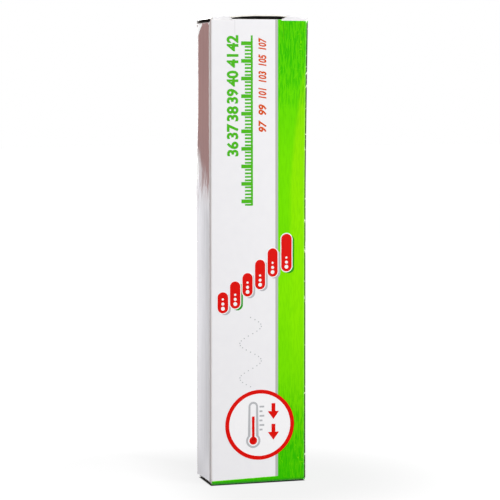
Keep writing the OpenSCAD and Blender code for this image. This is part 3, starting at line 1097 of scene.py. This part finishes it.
def case():
    low, high = box_mm("case_body")
    cap_low, cap_high = box_mm("case_cap")
    size = high.x - low.x, high.y - low.y
    shoulder = cap_low.z - CASE_GAP
    sections = [
        *rounded(size, low.z + CASE_FOOT_R, CASE_FOOT_R, -90, 0),
        *grooves(size, start=82.0, pitch=2.0, count=5, deep=0.3),
        *rounded(size, shoulder - NECK_EDGE, NECK_EDGE, 0, 90),
        *profile(NECK, shoulder, NECK_BEAD),
        *rounded(NECK, high.z - NECK_EDGE, NECK_EDGE, 0, 90),
        *rounded(CAVITY, high.z - CAVITY_EDGE, -CAVITY_EDGE, 270, 180)[:-1],
        (*CAVITY, high.z - CAVITY_EDGE),
        *profile(CAVITY, low.z + CAVITY_FLOOR, CAVITY_FOOT),
    ]
    ride(shell("case_shell", sections, MILKY), "case", "case_plastic", "case_body")
    sections = [
        *profile(CAP_BORE, cap_high.z - CAP_ROOF, CAP_ROOF_EDGE),
        *profile(CAP_BORE, cap_low.z, CAP_MOUTH),
        *rounded(size, cap_low.z + NECK_EDGE, NECK_EDGE, -90, 0),
        *grooves(size, start=101.0, pitch=2.4, count=8, deep=0.35),
        *rounded(size, cap_high.z - CAP_TOP_R, CAP_TOP_R, 0, 90, 8),
    ]
    ride(shell("case_cap_shell", sections, RED_PLASTIC), "cap", "red_plastic", "case_cap")


LAYERS = 7
PAPER = 0.09


def leaflet():
    """One sheet of paper in an accordion fold."""
    low, high = box_mm("leaflet")
    pitch = (high.y - low.y) / LAYERS
    r = pitch / 2
    half = high.x - r - PAPER / 2
    path = []
    for k in range(LAYERS):
        way = 1 if k % 2 == 0 else -1
        y = low.y + pitch * (k + 0.5)
        path += [(x, y, 0, -way) for x in line(-way * half, way * half, 10)]
        if k < LAYERS - 1:
            fold = arc(way * half, y + r, r, -90, 90 if way > 0 else -270, 8)
            path += [(px, py, way * nx, way * ny) for px, py, nx, ny in fold[1:-1]]
    columns = [(point, low.z, high.z, CUT, CUT) for point in path]
    piece = sheet("leaflet_paper", columns, off_path, (PAPER_LOOK,) * 3, line(0, 1, 12), thick=PAPER)
    ride(piece, "leaflet", "leaflet_paper", "leaflet")


GLASS_WALL = 0.7
GLASS_TAPER = 10
GLASS_EDGE = 0.3
GLASS_FOOT = ((0, 0, 1.6), (-2.4, -1.2, 0.5), (-6.0, -2.0, 0.2))
PLUG_STEM = (10.8, 4.0)
PLUG_STEM_LEN = 3.0
PLUG_FOOT = ((-0.4, 0), (0, 0.3), (0, PLUG_STEM_LEN))
PLUG_TOP_R = 1.4
THREAD_SIDES = 14

# The liquid's thread is narrowed above the bulb: (share of its radius, height above its foot)
THREAD_FOOT = ((0.7, 0), (1.0, 0.3), (1.0, 2.4), (0.45, 3.4), (0.45, 4.0), (1.0, 5.0))
THREAD_EVEN_FROM = 8
THREAD_DOME = (0.5, 1.0, 1.4)


def glass_body(size):
    low, high = box_mm("glass_envelope")
    bulb_low, bulb_high = box_mm("bulb")
    stem = bulb_high.x - bulb_low.x
    top = low.z + GLASS_TAPER
    sections = []
    for z in line(low.z, top, 12):
        share = smooth(z, low.z - 1, top)
        sections.append((stem + (size[0] - stem) * share, stem + (size[1] - stem) * share, z))
    sections += rounded(size, high.z - GLASS_EDGE, GLASS_EDGE, 0, 90)
    width, depth = grown(size, -2 * GLASS_WALL)
    sections.append((width, depth, high.z))
    sections += [(width + across, depth + along, top + up) for across, along, up in GLASS_FOOT]
    ride(shell("glass_body", sections, GLASS), "thermometer", "glass", "glass_envelope")


def end_plug(size):
    low, high = box_mm("end_plug")
    head = low.z + PLUG_STEM_LEN
    sections = [
        *profile(PLUG_STEM, low.z, PLUG_FOOT),
        *rounded(size, head + GLASS_EDGE, GLASS_EDGE, -90, 0),
        *grooves(size, start=head + 1.4, pitch=1.5, count=3, deep=0.25),
        *rounded(size, high.z - PLUG_TOP_R, PLUG_TOP_R, 0, 90, 7),
    ]
    ride(shell("end_plug_head", sections, RED_PLASTIC), "thermometer", "red_plastic", "end_plug")


def liquid_thread():
    low, high = box_mm("liquid_column")
    r = (high.x - low.x) / 2
    thread = [(share, low.z + z) for share, z in THREAD_FOOT]
    thread += [(1.0, z) for z in line(low.z + THREAD_EVEN_FROM, high.z - r, 16)]
    thread += [(cos(a), high.z - r + r * sin(a)) for a in THREAD_DOME]
    rings = []
    for share, z in thread:
        rings.append([(p[0], p[1], z) for p in arc(0, 0, r * share, 0, 360, THREAD_SIDES)[:-1]])
    piece = loft("liquid_thread", rings, SILVER)
    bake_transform(piece)
    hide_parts("liquid_column")


def thermometer():
    low, high = box_mm("glass_envelope")
    size = high.x - low.x, high.y - low.y
    glass_body(size)
    end_plug(size)
    liquid_thread()


# The plate's scale, each tick as (x of its end, half of its height)
SCALE_FROM = 60.8
SCALE_STEP = 6.2
FIRST_DEGREE = 35
TENTHS = 71
RED_DEGREE = 37
PLATE_TICK_X = 1.4
DEGREE_TICK = (3.9, 0.1)
HALF_TICK = (3.2, 0.1)
TENTH_TICK = (2.6, 0.07)
PLATE_NUMERAL = (-2.7, 1.35, 1.5)


def plate_print():
    """Graduations each tenth of a degree on the enamel plate, with 37 in red."""
    face = box_mm("scale_plate")[0].y

    def on_plate(x, z, lift):
        return x, face - lift, z

    black = Print("plate_print_black", BLACK_INK, place=on_plate)
    red = Print("plate_print_red", RED_INK, place=on_plate)
    middle, wide, tall = PLATE_NUMERAL
    for tenth in range(TENTHS):
        z = SCALE_FROM + SCALE_STEP * tenth / 10
        end, half = TENTH_TICK if tenth % 5 else HALF_TICK if tenth % 10 else DEGREE_TICK
        black.bar(PLATE_TICK_X, z - half, end, z + half)
        if tenth % 10 == 0:
            degree = FIRST_DEGREE + tenth // 10
            film = red if degree == RED_DEGREE else black
            film.numeral(str(degree), lambda u, v: (middle + u * wide, z + (v - 0.5) * tall), weight=0.01)
    black.keep("thermometer", "scale_enamel")
    red.keep("thermometer", "scale_enamel")


def dress_nodes():
    """Materials for the CAD nodes that keep their own shape."""
    looks = {
        "glue_flap": RAW,
        "bulb": GLASS,
        "capillary_tube": GLASS,
        "bulb_liquid": SILVER,
        "scale_plate": ENAMEL,
        "scale_clip": GREY_PLASTIC,
    }
    for name, material in looks.items():
        data = frame["nodes"][name].data
        data.materials.clear()
        data.materials.append(material)


# Camera at the photograph's place, and a plain pale studio
CAMERA_AT = (-0.1753138, -0.6237417, 0.1256757)
CAMERA_YAW = -15.662
CAMERA_PITCH = -4.460
CAMERA_ROLL = 0.067
SENSOR = 36.0
PHOTO_SIZE = 500
FOCAL_PIXELS = 1996.25


def camera():
    data = bpy.data.cameras.new("camera")
    data.sensor_width = SENSOR
    data.lens = SENSOR * FOCAL_PIXELS / PHOTO_SIZE
    SCENE.camera = linked("camera", data)
    SCENE.camera.location = CAMERA_AT
    turn = (90 + CAMERA_PITCH, CAMERA_ROLL, CAMERA_YAW)
    SCENE.camera.rotation_euler = [radians(a) for a in turn]


def rays(s):
    """Which rays see the set itself: camera rays, and glossy or transmission rays."""
    path = s.add("LightPath", {}).node
    mirrored = s.larger(path.outputs["Is Glossy Ray"], path.outputs["Is Transmission Ray"])
    return path.outputs["Is Camera Ray"], mirrored


WORLD_FILL = 0.6
ZENITH_FILL = 0.36
FRONT_DARK = 0.005
LEFT_LIGHT = 1.4
WORLD_STRONGEST = 2.6
FLOOR_STRONGEST = 1.95
FLOOR_CLOSE = 1.12

# Light behind the carton by its bearing, which is how far left it lies for each step back
RIGHT_BEARING = -0.4
RIGHT_LIGHT = 0.35
BEHIND_FROM = 0.27
BEHIND_LIGHT = 0.86
STRONGEST_AT = 0.48

# Edges of that light: in the world's directions, and on the floor in millimetres
SKY_BEHIND = (-0.3, 0.3)
SKY_LEFT = (-0.1, -0.5)
FLOOR_BEHIND = (-12, -2)
FLOOR_GRADED = (8, 60)
FLOOR_DIM = 0.86
FLOOR_DIM_Y = (20, 420)
FLOOR_LEFT_X = (-16, -30)
FLOOR_LEFT_Y = (8, -20)


def graded(s, x, y, nearest, strongest):
    """Light that the varnish shows behind the carton: weak at the right, strong far at the left."""
    bearing = s.math("DIVIDE", s.every(x, -1), s.larger(y, nearest))
    level = s.span(bearing, RIGHT_LIGHT, BEHIND_LIGHT, RIGHT_BEARING, BEHIND_FROM)
    return s.plus(level, s.span(bearing, 0, strongest - BEHIND_LIGHT, BEHIND_FROM, STRONGEST_AT))


def world():
    """White to the camera. The varnish shows it bright behind the carton and dark before it."""
    s = Shader("studio", bpy.data.worlds)
    camera_ray, mirrored = rays(s)
    toward = s.add("TexCoord", {}, "Generated")
    x, y, z = s.add("SeparateXYZ", {0: toward}).node.outputs
    behind = s.every(s.ramp(y, *SKY_BEHIND), graded(s, x, y, 0.1, WORLD_STRONGEST))
    left = s.every(s.ramp(x, *SKY_LEFT), s.ramp(y, *SKY_BEHIND[::-1]), LEFT_LIGHT)
    mirror = s.larger(s.plus(behind, left), FRONT_DARK)
    strength = s.mix(mirrored, s.span(z, WORLD_FILL, ZENITH_FILL), mirror)
    back = s.add("Background", {"Color": s.mix(camera_ray, strength, (1, 1, 1, 1))})
    SCENE.world = s.show(back, "OutputWorld")


# The floor in millimetres: a painted shadow under the carton and just before it, painted shade near it,
# and white from there on
FLOOR_HALF = 4000.0
FLOOR_Z = -0.03
FLOOR_GREY = 0.07
FLOOR_BLUE = 1.02
FLOOR_NEAR_SHADE = 0.83
FLOOR_SHEEN = (1.0, 0.985, 1.03)
# Painted shadow under the carton and in a soft line just before its front
PAINTED_SHADOW_Y = 0.75
PAINTED_SHADOW_TILT = 0.022
PAINTED_SHADOW_SOFT = 0.5
PAINTED_SHADOW_LEFT = (-16.5, -15.8)
PAINTED_SHADOW_RIGHT = (HALF_W, 15.5)
FADE_AWAY = (25, 90)
FADE_LEFT = (-8, -40)
FADE_LEFT_SHARE = 0.7


def floor_mirror(s, x, y):
    """The floor's light in the varnish: even near the carton, graded behind it, strong at its left."""
    far = s.minus(graded(s, s.plus(x, HALF_W), y, 10, FLOOR_STRONGEST), FLOOR_CLOSE)
    level = s.plus(s.every(far, s.ramp(y, *FLOOR_GRADED)), FLOOR_CLOSE)
    behind = s.every(s.ramp(y, *FLOOR_BEHIND), level, s.span(y, FLOOR_DIM, 1.0, *FLOOR_DIM_Y))
    left = s.every(s.ramp(x, *FLOOR_LEFT_X), s.ramp(y, *FLOOR_LEFT_Y), LEFT_LIGHT)
    return s.larger(s.plus(behind, left), FRONT_DARK)


def floor():
    """A pale floor that takes the carton's shadow, with a painted shadow under and just before the carton
    and painted shade round it, and fades to white further off.
    """
    s = Shader("pale_floor")
    camera_ray, mirrored = rays(s)
    x, y, _ = s.place()
    # Painted shadow: black under the carton and softly just before its front
    front = s.plus(y, s.minus(PAINTED_SHADOW_Y, s.every(x, PAINTED_SHADOW_TILT)))
    across = s.every(s.ramp(x, *PAINTED_SHADOW_LEFT), s.ramp(x, *PAINTED_SHADOW_RIGHT))
    painted_shadow = s.every(across, s.between(front, -HALF_D, HALF_D, PAINTED_SHADOW_SOFT))
    outside_painted_shadow = s.minus(1.0, painted_shadow)
    away = s.math("SQRT", s.plus(s.every(x, x), s.every(y, y)))
    # Painted shade: the floor's glow is dimmer near the carton, less so at its left
    fade = s.larger(s.ramp(away, *FADE_AWAY), s.every(s.ramp(x, *FADE_LEFT), FADE_LEFT_SHARE))
    glow = s.every(s.span(fade, FLOOR_NEAR_SHADE, 1.0), outside_painted_shadow, camera_ray)
    shown = s.every(floor_mirror(s, x, y), mirrored)
    sheen = s.add("VectorMath", {0: FLOOR_SHEEN, "Scale": shown}, operation="SCALE")
    light = s.mix(camera_ray, sheen, glow)
    tones = [(FLOOR_GREY, FLOOR_GREY, FLOOR_GREY * blue, 1) for blue in (FLOOR_BLUE, 1)]
    grey = s.mix(s.noise(0.01, 2.0), *tones)
    grey = s.mix(mirrored, s.mix(outside_painted_shadow, (0, 0, 0, 1), grey), (0, 0, 0, 1))
    matt = s.add("BsdfDiffuse", {"Color": grey})
    lit = s.add("AddShader", {0: matt, 1: s.add("Emission", {"Color": light})})
    clear = s.add("BsdfTransparent", {})
    below = s.add("NewGeometry", {}, "Backfacing")
    material = s.show(s.add("MixShader", {0: below, 1: lit, 2: clear}))
    corners = [(a * FLOOR_HALF, b * FLOOR_HALF, FLOOR_Z) for a, b in ((-1, -1), (1, -1), (1, 1), (-1, 1))]
    keep_mesh("floor", corners, [(0, 1, 2, 3)], [0], [material])


# A glowing card of the set, put there only to be reflected, in millimetres, whose ragged foot fades to
# white
CARD_X = (-273.0, -143.0)
CARD_Y = 790.0
CARD_Z = (40, 420)
CARD_FOOT = (14, 2)
CARD_RAGGED = 110
CARD_TONES = rgb(188, 130, 122), rgb(160, 100, 94)
CARD_WHITE = (1, 0.97, 1, 1)


def brown_card():
    """A glowing card behind the left of the set, which only the glossy left panel shows: a painted
    reflection, which lights nothing.
    """
    s = Shader("brown_card")
    z = s.place()[2]
    streak = s.noise(0.05, 4.0, (1, 1, 0.12))
    grain = s.ramp(s.noise(0.45, 2.0, (1, 1, 0.05)), 0.3, 0.7)
    foot = s.minus(z, s.every(streak, CARD_RAGGED))
    tone = s.mix(s.ramp(foot, *CARD_FOOT), s.mix(grain, *CARD_TONES), CARD_WHITE)
    # Painted reflection: the card glows, though it is no lamp, and only glossy rays see it
    material = s.show(s.add("Emission", {"Color": tone}))
    (left, right), (low, high) = CARD_X, CARD_Z
    corners = [(x, CARD_Y, z) for x, z in ((left, low), (right, low), (right, high), (left, high))]
    card = keep_mesh("brown_card", corners, [(0, 1, 2, 3)], [0], [material])
    for kind in ("camera", "diffuse", "transmission", "shadow"):
        setattr(card, f"visible_{kind}", False)


# Lamps: name, place and size in metres, and watts
LAMPS = (
    ("key", (0.68, -0.74, 0.46), 0.6, 13.6),
    ("back", (0.25, 1.0, 0.2), 0.5, 7.0),
)


def soft_box(name, at, size, watts):
    data = bpy.data.lights.new(name, "AREA")
    data.size = size
    data.energy = watts
    lamp = linked(name, data)
    lamp.location = at
    aim = Vector((0, 0, HEIGHT * MM / 2)) - Vector(at)
    lamp.rotation_euler = aim.to_track_quat("-Z", "Y").to_euler()
    lamp.visible_camera = False


PRINT = printed_board()
SIDE = side_board()
WHITE = white_board()
GREEN = green_board()
RAW = raw_board()
EDGE = mottled("cut_board", ((232, 227, 218), (243, 241, 236)), grain=(3.5, 5.0), rough=0.8,
               relief=(0.3, 0.05))
WHITE_LOOK = (WHITE, RAW, EDGE)
GREEN_LOOK = (GREEN, RAW, RAW)
GREEN_INK = ink("green_ink", (80, 186, 22), (70, 176, 18))
DARK_GREEN_INK = ink("dark_green_ink", (46, 158, 14), (38, 146, 10))
RED_INK = ink("red_ink", (224, 12, 2), (214, 9, 1))
ORANGE_INK = ink("orange_ink", (218, 84, 14), (208, 72, 10))
WHITE_INK = ink("white_ink", (246, 245, 246), (240, 239, 241))
GREY_INK = ink("grey_ink", (186, 187, 190), (174, 175, 179))
BLACK_INK = ink("black_ink", (36, 36, 40), (24, 24, 28))
MILKY = plastic("milky_plastic", (226, 231, 234), (212, 219, 223), 0.3)
RED_PLASTIC = plastic("red_plastic", (204, 26, 18), (188, 20, 14), 0.25)
GREY_PLASTIC = plastic("grey_plastic", (192, 194, 196), (176, 178, 181), 0.45)
PAPER_LOOK = paper()
GLASS = mottled("clear_glass", ((247, 252, 251), (238, 248, 246)), grain=(0.3, 2.0, (1, 1, 0.1)),
                rough=(0.0, 0.04), relief=(0.1, 0.05), transmission_weight=1.0, ior=1.5)
SILVER = mottled("silver", ((214, 216, 220), (190, 193, 198)), grain=(0.8, 2.0), rough=(0.05, 0.16),
                 metallic=1.0)
ENAMEL = mottled("enamel", ((246, 246, 242), (236, 237, 233)), grain=(0.5, 3.0), rough=0.22,
                 relief=(0.08, 0.04))
SCENE.view_settings.view_transform = "Standard"
camera()
world()
floor()
brown_card()
for lamp in LAMPS:
    soft_box(*lamp)
sleeve()
closures()
scale_print()
artwork_print()
ring_print()
case()
leaflet()
thermometer()
plate_print()
dress_nodes()
